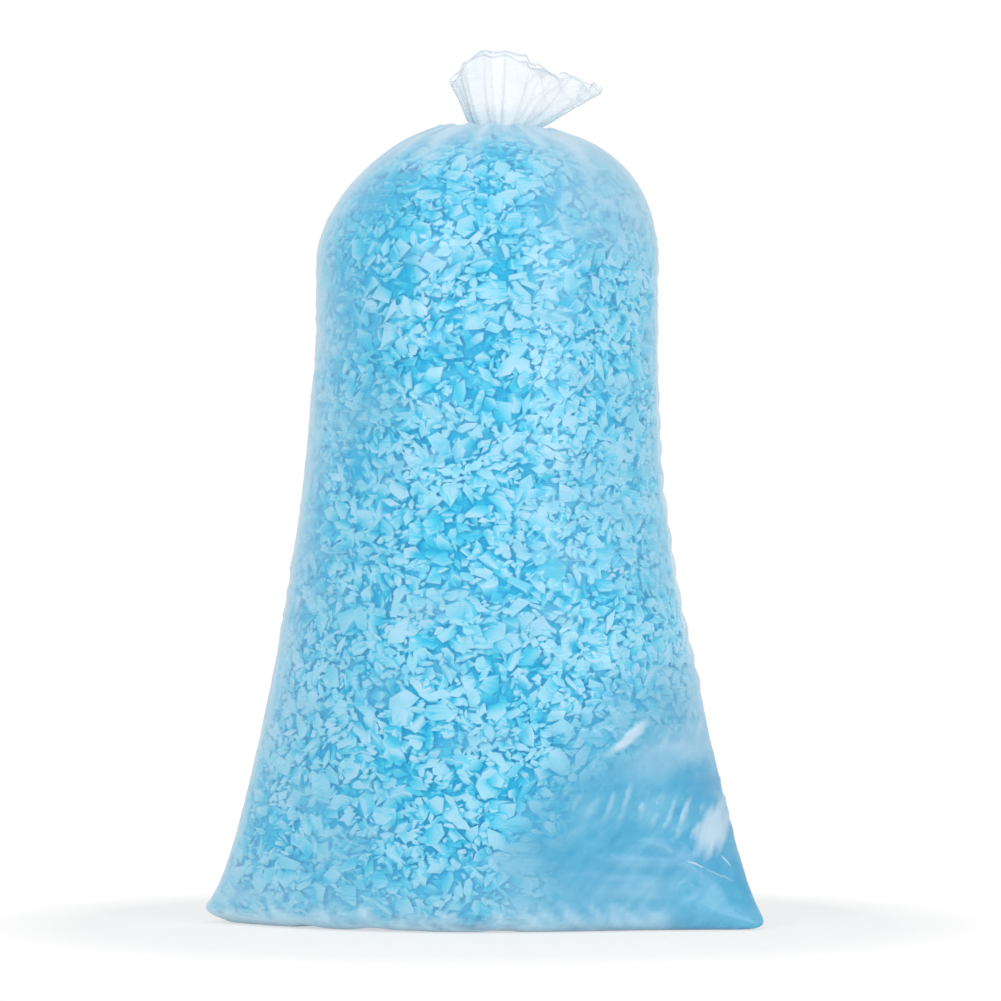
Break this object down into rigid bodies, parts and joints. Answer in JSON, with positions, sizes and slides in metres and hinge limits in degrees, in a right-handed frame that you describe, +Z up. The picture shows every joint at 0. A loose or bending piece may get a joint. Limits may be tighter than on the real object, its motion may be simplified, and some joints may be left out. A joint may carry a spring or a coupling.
{
  "type": "bag of shredded foam",
  "caption": "Clear film bag packed with loose shreds of pale blue memory foam, standing on its settled base, with a tied neck and a fanned mouth.",
  "frame": {"origin": "on the floor, under the middle of the bag's overall width and depth", "axes": "+Z up through the neck, -Y towards the front, +X to the right as seen from the front"},
  "size_m": [0.565, 0.3516, 0.8835],
  "materials": {
    "clear_film": "clear glossy polyethylene film, slightly milky",
    "foam_shreds": "matt open-cell foam in torn shreds",
    "tie_band": "plain pale plastic band"
  },
  "bodies": {
    "root": {"clear_bag": "clear_film", "foam_fill": "foam_shreds", "neck_tie": "tie_band"}
  },
  "joints": []
}
